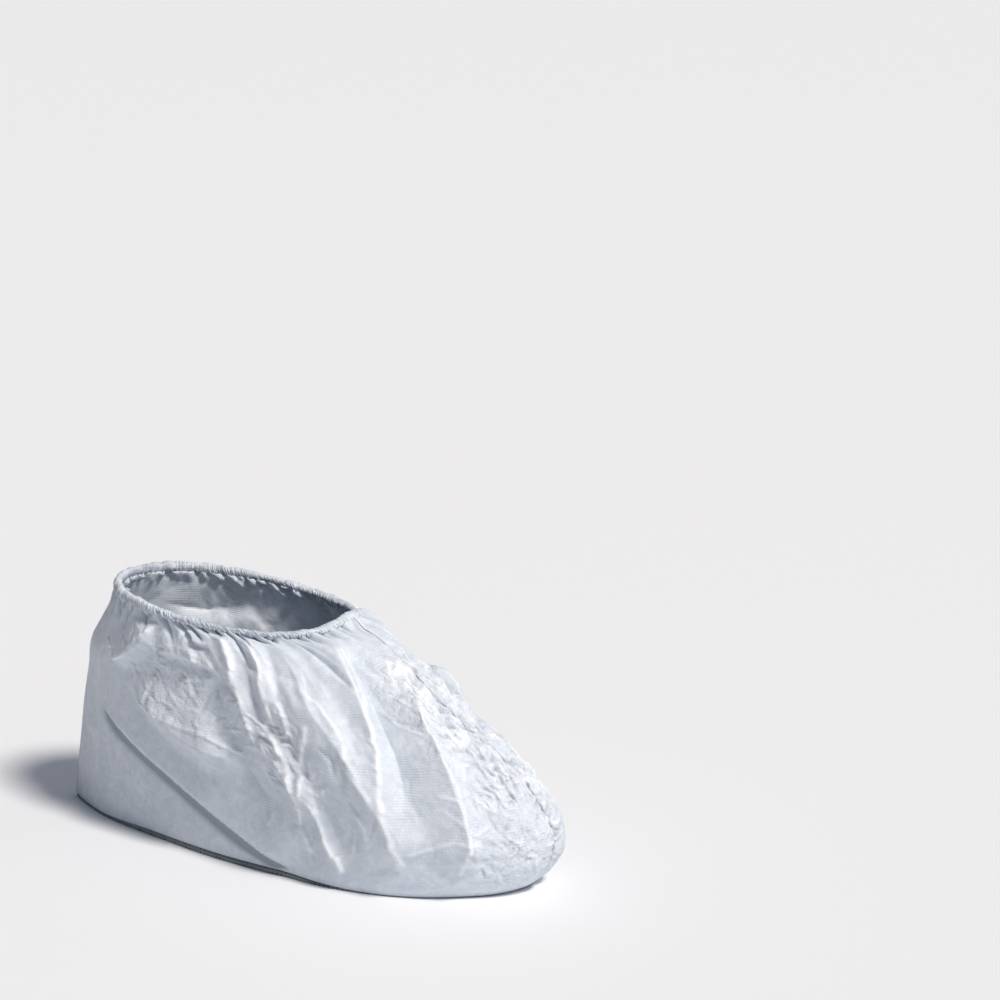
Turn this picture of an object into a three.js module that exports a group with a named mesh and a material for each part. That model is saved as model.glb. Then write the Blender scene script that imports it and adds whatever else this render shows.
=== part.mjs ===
// A disposable shoe cover as it stands when worn: two sewn cloth sides on a flat sole,
// drawn in at the ankle by a gathered elastic cuff. Millimetres, toe towards +X, +Z up.
// The outer side of a right foot faces -Y.
import * as THREE from "three";

// Driving dimensions
const coverLength = 332; // back of the heel to the tip of the toe
const outerHalfWidth = 65; // seam line to the widest point of the outer side
const innerHalfWidth = 54; // seam line to the widest point of the inner side
const cuffBackHeight = 147; // floor to the top of the cloth at the heel
const cuffFrontHeight = 146; // floor to the top of the cloth at the instep
const cuffSetback = 35; // back of the heel to the back of the ankle opening
const cuffLength = 157; // ankle opening, heel to instep
const cuffOuterHalfWidth = 55; // ankle opening, seam line to its outer edge
const cuffInnerHalfWidth = 49; // ankle opening, seam line to its inner edge
const clothWall = 1.3; // thickness of the cloth sides
const soleThickness = 1.5;
const pieceGap = 0.3; // clearance between neighbouring pieces
const bandHeight = 6.4; // elastic cuff, up the leg
const bandThickness = 4.2; // elastic cuff, through the cloth and elastic
const bandRuffle = 0.7; // how far the cuff's small pleats swell its section
const bandRuffleCount = 32;
const gatherDepth = 2.4; // pleats that the elastic draws into the cloth below it
const gatherCount = 30;
const seamInset = 9; // from the sole, and from the cuff, to the ends of each seam's edge
const seamAllowance = 5; // overlocked edge that stands inside the cover along each seam
const seamThickness = 2;
const seamPinch = 2.4; // how far the front seam draws the cloth in
const seamPinchWidth = 13;
const foldHeight = 8; // the tallest fold
const foldWidth = 40; // the widest fold, crest to foot
const cuffDip = 5; // how far the ankle opening sags on its two sides
const cuffBluntness = 0.3; // 0 leaves the outer front of the ankle opening a plain oval
const seamLean = 10; // how far the front seam lies over to the outer side, on the instep
const leanStart = 120; // back of the heel to where that lean begins
const leanRun = 110; // length over which it grows to its full size
const leanSkew = 1.6; // puts the most lean at two thirds of the cover's height

// Where folds and gathers die away
const footFade = 13; // folds, above the sole
const cuffFade = 7; // folds, below the cuff
const gatherStart = 9; // gathers, just below the cuff
const gatherReach = 19; // gathers, further down
const gatherDrift = 0.35; // how far gathers wander off an even beat, as a share of their pitch
const gatherDriftCount = 5; // how often they do so in a lap

// Mesh fineness
const sideColumns = 52; // cells round each side, heel to toe
const sideRows = 20; // cells up each side, sole to cuff
const rowCrowding = 0.45; // 0 spaces those rows evenly, 1 crowds them most under the cuff
const bandSections = 96;
const bandSides = 8;
const foldSteps = 10; // straight stretches that stand for a fold's curved line

// Outline of the sole over half a lap, from the heel seam (lap 0) to the toe seam (lap 1).
// along: share of the sole's length. side: share of the half width.
const SOLE_PLAN = [
  { lap: 0, along: 0, side: 0 },
  { lap: 0.08, along: 0.055, side: 0.22 },
  { lap: 0.16, along: 0.13, side: 0.44 },
  { lap: 0.27, along: 0.26, side: 0.66 },
  { lap: 0.4, along: 0.42, side: 0.88 },
  { lap: 0.53, along: 0.58, side: 0.99 },
  { lap: 0.65, along: 0.72, side: 1.03 },
  { lap: 0.76, along: 0.85, side: 0.85 },
  { lap: 0.87, along: 0.945, side: 0.52 },
  { lap: 0.94, along: 0.983, side: 0.28 },
  { lap: 1, along: 1, side: 0 },
];
const ALONG_END_SLOPES = [0.69, 0]; // a corner at the heel seam, square to the seam at the toe
const SIDE_END_SLOPES = [3.2, -4.9];

// Level sections from the sole (rise 0) to the cuff (rise 1).
// setback: share of cuffSetback. back, front: share of the cloth's height there.
// retreat: share of the way from the toe's tip back to the front of the ankle opening.
// swell: half width against its plain value. round: 0 the sole's outline, 1 the opening's oval.
// dip: share of cuffDip.
const SECTIONS = [
  { rise: 0, setback: 0, back: 0, front: 0,
    retreat: 0.129, swell: 0.955, round: 0, dip: 0 },
  { rise: 0.07, setback: 0.03, back: 0.07, front: 0.057,
    retreat: 0.043, swell: 1, round: 0, dip: 0 },
  { rise: 0.16, setback: 0.065, back: 0.174, front: 0.154,
    retreat: 0, swell: 1.02, round: 0.03, dip: 0 },
  { rise: 0.28, setback: 0.115, back: 0.304, front: 0.293,
    retreat: 0.014, swell: 1.03, round: 0.1, dip: 0 },
  { rise: 0.41, setback: 0.17, back: 0.449, front: 0.445,
    retreat: 0.114, swell: 1.03, round: 0.22, dip: 0 },
  { rise: 0.54, setback: 0.26, back: 0.587, front: 0.577,
    retreat: 0.257, swell: 1.03, round: 0.4, dip: 0 },
  { rise: 0.67, setback: 0.34, back: 0.718, front: 0.688,
    retreat: 0.436, swell: 1.03, round: 0.58, dip: 0.2 },
  { rise: 0.79, setback: 0.6, back: 0.821, front: 0.82,
    retreat: 0.643, swell: 1.03, round: 0.78, dip: 0.4 },
  { rise: 0.9, setback: 0.87, back: 0.924, front: 0.945,
    retreat: 0.843, swell: 1.02, round: 0.95, dip: 0.7 },
  { rise: 1, setback: 1, back: 1, front: 1,
    retreat: 1, swell: 1, round: 1, dip: 1 },
];

// Folds, each a crest (height above 0) or a valley (below 0) along a bent line on the cloth.
// turn: share of a lap from the heel seam round the outer side; the toe seam is at 0.5.
// bow: how far the line bends to its left. left, right: its foot on each side, as seen from
// outside on the way from its first end to its second. These three are shares of foldWidth.
// height: share of foldHeight. fadeIn, fadeOut: share of the line over which the ends die away.
const FOLDS = [
  { name: "heel_flap", turn0: 0.105, rise0: 0.67, turn1: 0.194, rise1: 0.93,
    bow: -0.08, height: 0.8, left: 0.5, right: 0.2, fadeIn: 0.2, fadeOut: 0.3 },
  { name: "shoulder_ridge", turn0: 0.185, rise0: 0.83, turn1: 0.25, rise1: 0.807,
    bow: 0.1, height: 0.25, left: 0.3, right: 0.2, fadeIn: 0.25, fadeOut: 0.3 },
  { name: "quarter_bulge", turn0: 0.139, rise0: 0.67, turn1: 0.238, rise1: 0.43,
    bow: -0.34, height: 1.2, left: 1.1, right: 0.45, fadeIn: 0.25, fadeOut: 0.3 },
  { name: "heel_crease", turn0: 0.055, rise0: 0.48, turn1: 0.275, rise1: 0.04,
    bow: -0.03, height: 0.4, left: 1.1, right: 0.25, fadeIn: 0.35, fadeOut: 0.15 },
  { name: "ankle_ridge", turn0: 0.281, rise0: 0.96, turn1: 0.262, rise1: 0.6,
    bow: -0.02, height: 0.6, left: 0.22, right: 0.4, fadeIn: 0.1, fadeOut: 0.3 },
  { name: "side_ridge", turn0: 0.257, rise0: 0.74, turn1: 0.284, rise1: 0.26,
    bow: -0.05, height: 0.55, left: 0.45, right: 0.6, fadeIn: 0.3, fadeOut: 0.3 },
  { name: "low_ridge", turn0: 0.286, rise0: 0.46, turn1: 0.311, rise1: 0.07,
    bow: -0.15, height: 0.42, left: 0.2, right: 0.4, fadeIn: 0.25, fadeOut: 0.25 },
  { name: "second_ridge", turn0: 0.314, rise0: 0.96, turn1: 0.283, rise1: 0.58,
    bow: 0, height: 0.5, left: 0.2, right: 0.3, fadeIn: 0.1, fadeOut: 0.35 },
  { name: "instep_edge", turn0: 0.336, rise0: 0.83, turn1: 0.355, rise1: 0.13,
    bow: -0.1, height: 0.9, left: 0.5, right: 0.95, fadeIn: 0.2, fadeOut: 0.15 },
  { name: "instep_ridge", turn0: 0.424, rise0: 0.95, turn1: 0.345, rise1: 0.34,
    bow: -0.11, height: 0.35, left: 0.2, right: 0.25, fadeIn: 0.1, fadeOut: 0.3 },
  { name: "vamp_valley", turn0: 0.434, rise0: 0.93, turn1: 0.353, rise1: 0.25,
    bow: -0.11, height: -0.85, left: 0.9, right: 0.2, fadeIn: 0.15, fadeOut: 0.4 },
  { name: "vamp_ridge", turn0: 0.482, rise0: 0.88, turn1: 0.4, rise1: 0.1,
    bow: -0.38, height: 1.15, left: 0.4, right: 0.95, fadeIn: 0.3, fadeOut: 0.15 },
  { name: "seam_tuck", turn0: 0.51, rise0: 0.69, turn1: 0.54, rise1: 0.6,
    bow: 0, height: -0.5, left: 0.3, right: 0.4, fadeIn: 0.3, fadeOut: 0.3 },
  { name: "vamp_hump", turn0: 0.56, rise0: 0.8, turn1: 0.518, rise1: 0.71,
    bow: 0.1, height: 1, left: 0.42, right: 0.42, fadeIn: 0.3, fadeOut: 0.3 },
  { name: "inner_toe_crest", turn0: 0.525, rise0: 0.4, turn1: 0.515, rise1: 0.08,
    bow: 0.1, height: 0.28, left: 0.4, right: 0.5, fadeIn: 0.4, fadeOut: 0.3 },
  { name: "inner_valley", turn0: 0.59, rise0: 0.94, turn1: 0.645, rise1: 0.28,
    bow: 0, height: -0.6, left: 0.55, right: 0.55, fadeIn: 0.2, fadeOut: 0.4 },
  { name: "inner_ridge", turn0: 0.625, rise0: 0.97, turn1: 0.69, rise1: 0.22,
    bow: 0.1, height: 0.6, left: 0.5, right: 0.9, fadeIn: 0.1, fadeOut: 0.35 },
  { name: "inner_second_ridge", turn0: 0.71, rise0: 0.96, turn1: 0.735, rise1: 0.4,
    bow: 0, height: 0.45, left: 0.35, right: 0.5, fadeIn: 0.1, fadeOut: 0.4 },
  { name: "inner_low_crease", turn0: 0.96, rise0: 0.52, turn1: 0.72, rise1: 0.03,
    bow: 0.1, height: 0.6, left: 0.3, right: 1, fadeIn: 0.35, fadeOut: 0.2 },
  { name: "inner_shoulder", turn0: 0.9, rise0: 0.84, turn1: 0.79, rise1: 0.9,
    bow: 0.3, height: 0.6, left: 0.28, right: 0.5, fadeIn: 0.3, fadeOut: 0.3 },
];

const wallFoot = soleThickness + pieceGap; // height of the cloth's lower edge
const soleLap = 2.3 * coverLength; // once round the cloth at the sole, near enough for the folds
const cuffLap = Math.PI * (cuffLength + cuffOuterHalfWidth + cuffInnerHalfWidth) / 2;
const TOE = 0.5; // the toe seam's turn

const mix = (a, b, share) => a + (b - a) * share;
const clamp = (value) => Math.min(1, Math.max(0, value));
const ease = (value) => clamp(value) ** 2 * (3 - 2 * clamp(value));

// A smooth curve through a table's rows: column name as a function of the key column.
function through(rows, key, column, endSlopes) {
  const slope = (a, b) => (b[column] - a[column]) / (b[key] - a[key]);
  const slopes = rows.map((row, i) =>
    slope(rows[Math.max(i - 1, 0)], rows[Math.min(i + 1, rows.length - 1)]));
  if (endSlopes) [slopes[0], slopes[rows.length - 1]] = endSlopes;
  return (at) => {
    const next = rows.findIndex((row) => row[key] >= at);
    const i = Math.max(0, (next < 0 ? rows.length - 1 : next) - 1);
    const span = rows[i + 1][key] - rows[i][key];
    const s = clamp((at - rows[i][key]) / span);
    return (2 * s ** 3 - 3 * s ** 2 + 1) * rows[i][column] + (s ** 3 - 2 * s ** 2 + s) * span * slopes[i]
      + (3 * s ** 2 - 2 * s ** 3) * rows[i + 1][column] + (s ** 3 - s ** 2) * span * slopes[i + 1];
  };
}

const soleAlong = through(SOLE_PLAN, "lap", "along", ALONG_END_SLOPES);
const soleSide = through(SOLE_PLAN, "lap", "side", SIDE_END_SLOPES);
const section = Object.fromEntries(
  ["setback", "back", "front", "retreat", "swell", "round", "dip"].map((column) =>
    [column, through(SECTIONS, "rise", column)]));

// The cover's plain outer surface, with no folds.
function plainPoint(turn, rise) {
  const lap = 1 - Math.abs(1 - 2 * turn);
  const outer = turn <= TOE;
  const round = section.round(rise);
  const along = mix(soleAlong(lap), (1 - Math.cos(Math.PI * lap)) / 2, round);
  const blunt = outer && lap > 0.5 ? 1 - cuffBluntness * section.dip(rise) : 1;
  const side = mix(soleSide(lap), Math.max(0, Math.sin(Math.PI * lap)) ** blunt, round);
  const halfWidth = outer
    ? mix(outerHalfWidth, cuffOuterHalfWidth, round)
    : mix(innerHalfWidth, cuffInnerHalfWidth, round);
  const back = cuffSetback * section.setback(rise);
  const front = mix(coverLength, cuffSetback + cuffLength, section.retreat(rise));
  const backHeight = mix(wallFoot, cuffBackHeight, section.back(rise));
  const frontHeight = mix(wallFoot, cuffFrontHeight, section.front(rise));
  const x = mix(back, front, along);
  const sag = cuffDip * section.dip(rise) * Math.sin(Math.PI * lap ** 2);
  const z = mix(backHeight, frontHeight, along) - sag;
  return new THREE.Vector3(x, (outer ? -1 : 1) * halfWidth * section.swell(rise) * side - leanAt(x, z), z);
}

// How far the front seam, and the cloth with it, lies over to the outer side at a place.
function leanAt(x, z) {
  const share = Math.min(1, z / cuffFrontHeight) ** leanSkew;
  const up = Math.max(0, Math.sin(Math.PI * share)) ** leanSkew;
  return seamLean * up * ease((x - leanStart) / leanRun);
}

// The outward normal of the plain surface. On a seam it lies in the seam's plane and is
// lengthened, so that the two sides' walls meet there in a mitre.
function outward(turn, rise, onSeam) {
  const step = 1e-3;
  const low = turn <= TOE ? 0 : TOE + step / 2;
  const [t0, t1] = [Math.max(low, turn - step), Math.min(low + TOE - step / 2, turn + step)];
  const round = plainPoint(t1, rise).sub(plainPoint(t0, rise));
  const up = plainPoint(turn, Math.min(1, rise + step)).sub(plainPoint(turn, Math.max(0, rise - step)));
  const normal = round.cross(up).normalize();
  return onSeam ? normal.setY(0).divideScalar(normal.x ** 2 + normal.z ** 2) : normal;
}

// One fold's height at a place on the cloth.
function foldAt(fold, turn, rise) {
  const wholeLaps = Math.round((fold.turn0 + fold.turn1) / 2 - turn);
  const place = (t, r) => new THREE.Vector2(
    (t - turn - wholeLaps) * mix(soleLap, cuffLap, rise), (r - rise) * cuffBackHeight);
  const from = place(fold.turn0, fold.rise0);
  const to = place(fold.turn1, fold.rise1);
  const leftward = new THREE.Vector2(from.y - to.y, to.x - from.x).normalize();
  const middle = from.clone().lerp(to, 0.5).addScaledVector(leftward, 2 * fold.bow * foldWidth);
  const line = new THREE.QuadraticBezierCurve(from, middle, to);
  let nearest = { distance: Infinity };
  for (let i = 0; i < foldSteps; i++) {
    const a = line.getPoint(i / foldSteps);
    const run = line.getPoint((i + 1) / foldSteps).sub(a);
    const s = clamp(-a.dot(run) / run.lengthSq());
    const foot = a.clone().addScaledVector(run, s);
    if (foot.length() < nearest.distance)
      nearest = { distance: foot.length(), onLeft: run.cross(foot) < 0, share: (i + s) / foldSteps };
  }
  const reach = nearest.distance / (foldWidth * (nearest.onLeft ? fold.left : fold.right));
  const ends = ease(nearest.share / fold.fadeIn) * ease((1 - nearest.share) / fold.fadeOut);
  return reach < 1 ? foldHeight * fold.height * ends * (1 - reach) * Math.cos(Math.PI * reach / 2) : 0;
}

// How far the cloth stands off the plain surface, along its outward normal.
function standOff(turn, rise) {
  const folds = FOLDS.reduce((sum, fold) => sum + foldAt(fold, turn, rise), 0);
  const aboveSole = rise * cuffBackHeight;
  const belowCuff = (1 - rise) * cuffBackHeight;
  const beat = gatherCount * turn + gatherDrift * Math.sin(2 * Math.PI * gatherDriftCount * turn);
  const gathers = gatherDepth * Math.cos(2 * Math.PI * beat)
    * ease(belowCuff / gatherStart) * Math.exp(-belowCuff / gatherReach);
  const fromSeam = Math.abs(turn - TOE) * mix(soleLap, cuffLap, rise);
  const pinch = -seamPinch * (1 - ease(fromSeam / seamPinchWidth));
  return ((folds + pinch) * ease(belowCuff / cuffFade) + gathers) * ease(aboveSole / footFade);
}

// A point of the cloth, depth mm in from its outer face. A point on a seam is given its place
// across the seam, in mm towards the inner side.
function clothPoint(turn, rise, depth, acrossSeam) {
  const onSeam = acrossSeam !== undefined;
  const point = plainPoint(turn, rise);
  if (onSeam) point.y += acrossSeam;
  return point.addScaledVector(outward(turn, rise, onSeam), standOff(turn, rise) - depth);
}

// A closed solid from rings of points that join face to face, with flat ends or a full circle.
function solidFromRings(rings, closed) {
  const sides = rings[0].length;
  const index = [];
  const at = (ring, side) => (ring % rings.length) * sides + (side % sides);
  for (let r = 0; r < rings.length - (closed ? 0 : 1); r++)
    for (let s = 0; s < sides; s++)
      index.push(at(r, s), at(r, s + 1), at(r + 1, s + 1),
        at(r, s), at(r + 1, s + 1), at(r + 1, s));
  if (!closed) {
    for (let s = 1; s < sides - 1; s++) index.push(at(0, 0), at(0, s + 1), at(0, s));
    const last = rings.length - 1;
    for (let s = 1; s < sides - 1; s++) index.push(at(last, 0), at(last, s), at(last, s + 1));
  }
  const geometry = new THREE.BufferGeometry().setFromPoints(rings.flat());
  geometry.setIndex(index);
  geometry.computeVertexNormals();
  return geometry;
}

// One side of the upper: a wall whose outer and inner faces are grids joined round their edges.
function sideGeometry(turn0, turn1) {
  const points = [];
  const seamEdge = turn0 < TOE ? -pieceGap : pieceGap;
  for (const depth of [0, clothWall])
    for (let i = 0; i <= sideColumns; i++)
      for (let j = 0; j <= sideRows; j++)
        points.push(clothPoint(mix(turn0, turn1, i / sideColumns), rowRise(j), depth,
          i === 0 || i === sideColumns ? seamEdge : undefined));
  const at = (face, i, j) => (face * (sideColumns + 1) + i) * (sideRows + 1) + j;
  const index = [];
  const quad = (a, b, c, d) => index.push(a, b, c, a, c, d);
  for (let i = 0; i < sideColumns; i++) {
    for (let j = 0; j < sideRows; j++) {
      quad(at(0, i, j), at(0, i + 1, j), at(0, i + 1, j + 1), at(0, i, j + 1));
      quad(at(1, i, j), at(1, i, j + 1), at(1, i + 1, j + 1), at(1, i + 1, j));
    }
    quad(at(0, i, 0), at(1, i, 0), at(1, i + 1, 0), at(0, i + 1, 0));
    quad(at(0, i, sideRows), at(0, i + 1, sideRows), at(1, i + 1, sideRows), at(1, i, sideRows));
  }
  for (let j = 0; j < sideRows; j++) {
    quad(at(0, 0, j), at(0, 0, j + 1), at(1, 0, j + 1), at(1, 0, j));
    quad(at(0, sideColumns, j), at(1, sideColumns, j),
      at(1, sideColumns, j + 1), at(0, sideColumns, j + 1));
  }
  const geometry = new THREE.BufferGeometry().setFromPoints(points);
  geometry.setIndex(index);
  geometry.computeVertexNormals();
  return geometry;
}

// Rows stand closer together under the cuff, where the gathers are.
function rowRise(row) {
  const share = row / sideRows;
  return mix(share, Math.sin(share * Math.PI / 2), rowCrowding);
}

// The sole: the outline that the cloth stands on, extruded down to the floor.
function soleGeometry() {
  const outline = [];
  for (let i = 0; i < 2 * sideColumns; i++) {
    const point = plainPoint(i / (2 * sideColumns), 0);
    outline.push(new THREE.Vector2(point.x, point.y));
  }
  return new THREE.ExtrudeGeometry(
    new THREE.Shape(outline), { depth: soleThickness, bevelEnabled: false });
}

// The elastic cuff: a ruffled oval band that carries on up from the top edge of the cloth.
function cuffGeometry() {
  const rings = [];
  for (let i = 0; i < bandSections; i++) {
    const turn = i / bandSections;
    const top = plainPoint(turn, 1);
    const up = top.clone().sub(plainPoint(turn, 0.97)).normalize();
    const out = outward(turn, 1, i === 0 || turn === TOE).normalize();
    const ruffle = 1 + bandRuffle / bandThickness * Math.sin(2 * Math.PI * bandRuffleCount * turn);
    const centre = top.addScaledVector(out, -clothWall / 2).addScaledVector(up, bandHeight / 2 + pieceGap);
    const ring = [];
    for (let s = 0; s < bandSides; s++) {
      const angle = 2 * Math.PI * s / bandSides;
      ring.push(centre.clone()
        .addScaledVector(up, bandHeight / 2 * Math.cos(angle))
        .addScaledVector(out, bandThickness / 2 * ruffle * Math.sin(angle)));
    }
    rings.push(ring);
  }
  return solidFromRings(rings, true);
}

// A seam's overlocked edge: a strip inside the cover, thin where it leaves the cloth.
function seamGeometry(turn) {
  const rings = [];
  for (let j = 0; j <= sideRows; j++) {
    const rise = mix(seamInset, cuffBackHeight - seamInset, j / sideRows) / cuffBackHeight;
    const edge = (depth, across) => clothPoint(turn, rise, depth, turn === TOE ? -across : across);
    const near = clothWall + pieceGap;
    const shoulder = near + seamThickness;
    rings.push([
      edge(near, pieceGap), edge(near, -pieceGap), edge(shoulder, -seamThickness / 2),
      edge(near + seamAllowance, -seamThickness / 2), edge(near + seamAllowance, seamThickness / 2),
      edge(shoulder, seamThickness / 2),
    ]);
  }
  return solidFromRings(rings, false);
}

const cloth = () => new THREE.MeshStandardMaterial({
  color: 0xe9edf3, roughness: 0.55, metalness: 0, side: THREE.DoubleSide });
const gripCoat = () => new THREE.MeshStandardMaterial({
  color: 0x868b90, roughness: 0.7, metalness: 0 });
const thread = () => new THREE.MeshStandardMaterial({ color: 0xeef0f2, roughness: 0.8, metalness: 0 });

function piece(name, geometry, material) {
  const mesh = new THREE.Mesh(geometry, material);
  mesh.name = name;
  return mesh;
}

const cover = new THREE.Group();
cover.add(
  piece("outer_side", sideGeometry(0, TOE), cloth()),
  piece("inner_side", sideGeometry(TOE + 1e-9, 1), cloth()),
  piece("sole", soleGeometry(), gripCoat()),
  piece("elastic_cuff", cuffGeometry(), cloth()),
  piece("front_seam", seamGeometry(TOE), thread()),
  piece("heel_seam", seamGeometry(0), thread()),
);

// The origin is on the floor under the middle of the cover.
const box = new THREE.Box3().setFromObject(cover);
cover.position.set(-(box.min.x + box.max.x) / 2, -(box.min.y + box.max.y) / 2, -box.min.z);

export default cover;
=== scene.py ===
# %% [markdown]
# # A disposable shoe cover, as it stands on the foot
# The cover is cut from flash-spun nonwoven, a paper-like white sheet that is stiff enough to
# hold its own folds. Two sides are sewn together along the toe and the heel, a sole is sewn
# in below, and an elastic draws the ankle in. All measures are millimetres until the last
# step of each mesh, where they become metres.

# %% Load the frame
import math

import bpy
import numpy as np
from mathutils import Matrix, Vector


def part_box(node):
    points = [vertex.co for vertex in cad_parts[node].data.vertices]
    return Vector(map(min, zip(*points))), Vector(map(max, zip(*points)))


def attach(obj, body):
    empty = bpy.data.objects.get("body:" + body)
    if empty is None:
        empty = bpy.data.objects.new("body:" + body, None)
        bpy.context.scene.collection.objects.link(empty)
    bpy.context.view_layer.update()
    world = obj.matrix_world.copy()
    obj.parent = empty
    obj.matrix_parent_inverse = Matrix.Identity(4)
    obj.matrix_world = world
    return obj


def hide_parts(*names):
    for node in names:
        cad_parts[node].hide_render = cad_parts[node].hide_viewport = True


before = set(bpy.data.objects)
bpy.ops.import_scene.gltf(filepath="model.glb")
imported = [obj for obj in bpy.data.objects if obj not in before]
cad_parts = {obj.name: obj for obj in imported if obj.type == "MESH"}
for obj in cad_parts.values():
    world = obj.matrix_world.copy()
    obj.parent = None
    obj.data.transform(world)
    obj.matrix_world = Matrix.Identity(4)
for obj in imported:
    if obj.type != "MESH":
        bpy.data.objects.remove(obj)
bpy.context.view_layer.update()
print("frame nodes:", sorted(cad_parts))

# %% [markdown]
# ## The shape of the cloth
# A place on the cloth has two coordinates. `turn` goes once round it: 0 at the heel seam,
# along the outer side, 0.5 at the toe seam and back along the inner side. `rise` goes from 0 at
# the sole to 1 at the cuff. The outer side faces -Y and the toe points to +X. Short tables give
# the outline of the sole and ten level sections, and a smooth curve runs through each column.
# Tables like these are easier to tune against a reference picture than a sculpted mesh.

# %% Sizes and section tables
COVER_LENGTH = 332.0
OUTER_HALF, INNER_HALF = 65.0, 54.0
CUFF_BACK, CUFF_FRONT = 147.0, 146.0
CUFF_SETBACK, CUFF_LENGTH = 35.0, 157.0
CUFF_OUTER_HALF, CUFF_INNER_HALF = 55.0, 49.0
CUFF_DIP = 5.0
CUFF_BLUNTNESS = 0.3  # 0 leaves the front of the opening a plain oval
SEAM_LEAN, LEAN_START, LEAN_RUN = 10.0, 120.0, 110.0
LEAN_SKEW = 1.6  # puts the most lean at two thirds of the cover's height
SOLE_THICKNESS = 1.5
WALL_FOOT = 1.8  # height of the cloth's lower edge
FOOT_LIFT, FOOT_TUCK = 1.7, 1.3  # how far that edge stands up under the arch, and comes down at the toe
LIFT_START, LIFT_GROWS, LIFT_END, LIFT_FADES = 0.12, 0.15, 0.62, 0.1  # shares of the way from heel to toe
TUCK_START, TUCK_GROWS = 0.6, 0.12
WALL = 1.0  # thickness that the thin sheet is given
FOLD_HEIGHT, FOLD_WIDTH = 8.0, 40.0
FOOT_FADE, CUFF_FADE = 0.09, 0.05  # shares of the rise over which folds grow from the edges
SOLE_LAP = 2.3 * COVER_LENGTH
CUFF_LAP = math.pi * (CUFF_LENGTH + CUFF_OUTER_HALF + CUFF_INNER_HALF) / 2
GATHERS = 30
HEEL, TOE = 0.0, 0.5  # the turns of the two seams

# lap: share of the way from heel to toe, along: share of the length, side: share of the half width
SOLE_PLAN = np.array([
    (0, 0, 0), (.08, .055, .22), (.16, .13, .44), (.27, .26, .66), (.40, .42, .88), (.53, .58, .99),
    (.65, .72, 1.03), (.76, .85, .85), (.87, .945, .52), (.94, .983, .28), (1, 1, 0)])
ALONG_END_SLOPES = (.69, 0)  # a corner at the heel seam, square to the seam at the toe
SIDE_END_SLOPES = (3.2, -4.9)
# rise, then: setback: share of CUFF_SETBACK, back and front: share of the cloth's height there,
# retreat: share of the way from the toe's tip back to the front of the opening, swell: half width
# against its plain value, round: 0 the sole's outline, 1 the opening's oval, dip: share of CUFF_DIP
SECTIONS = np.array([
    (0, 0, 0, 0, .129, .955, 0, 0), (.07, .03, .07, .057, .043, 1, 0, 0),
    (.16, .065, .174, .154, 0, 1.02, .03, 0), (.28, .115, .304, .293, .014, 1.03, .1, 0),
    (.41, .17, .449, .445, .114, 1.03, .22, 0), (.54, .26, .587, .577, .257, 1.03, .4, 0),
    (.67, .34, .718, .688, .436, 1.03, .58, .2), (.79, .6, .821, .82, .643, 1.03, .78, .4),
    (.9, .87, .924, .945, .843, 1.02, .95, .7), (1, 1, 1, 1, 1, 1, 1, 1)])

# %% A smooth curve through a table
def through(rows, column, at, ends=None):
    """Cubic Hermite curve through rows[:, column] over rows[:, 0], at the values in at."""
    key, val = rows[:, 0], rows[:, column]
    slope = np.empty(len(key))
    slope[1:-1] = (val[2:] - val[:-2]) / (key[2:] - key[:-2])
    slope[0] = (val[1] - val[0]) / (key[1] - key[0])
    slope[-1] = (val[-1] - val[-2]) / (key[-1] - key[-2])
    if ends:
        slope[0], slope[-1] = ends
    i = np.clip(np.searchsorted(key, at, side="left") - 1, 0, len(key) - 2)
    span = key[i + 1] - key[i]
    s = np.clip((at - key[i]) / span, 0, 1)
    return ((2 * s**3 - 3 * s**2 + 1) * val[i] + (s**3 - 2 * s**2 + s) * span * slope[i]
            + (3 * s**2 - 2 * s**3) * val[i + 1] + (s**3 - s**2) * span * slope[i + 1])


def ease(value):
    """0 to 1 with a soft start and a soft end."""
    value = np.clip(value, 0, 1)
    return value * value * (3 - 2 * value)


def mix(a, b, share):
    """The value that lies this share of the way from a to b."""
    return a + (b - a) * share


# %% The plain surface
def seam_lean(x, z):
    """How far the front seam, and the cloth with it, lies over to the outer side."""
    up = np.maximum(np.sin(np.pi * np.clip(z / CUFF_FRONT, 0, 1)**LEAN_SKEW), 0)**LEAN_SKEW
    return SEAM_LEAN * up * ease((x - LEAN_START) / LEAN_RUN)


def foot_change(lap, side):
    """Height of the cloth's lower edge against its usual height, round the sole."""
    lifted = ease((lap - LIFT_START) / LIFT_GROWS) * ease((LIFT_END - lap) / LIFT_FADES) * (side < 0)
    return FOOT_LIFT * lifted - FOOT_TUCK * ease((lap - TUCK_START) / TUCK_GROWS)


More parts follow.
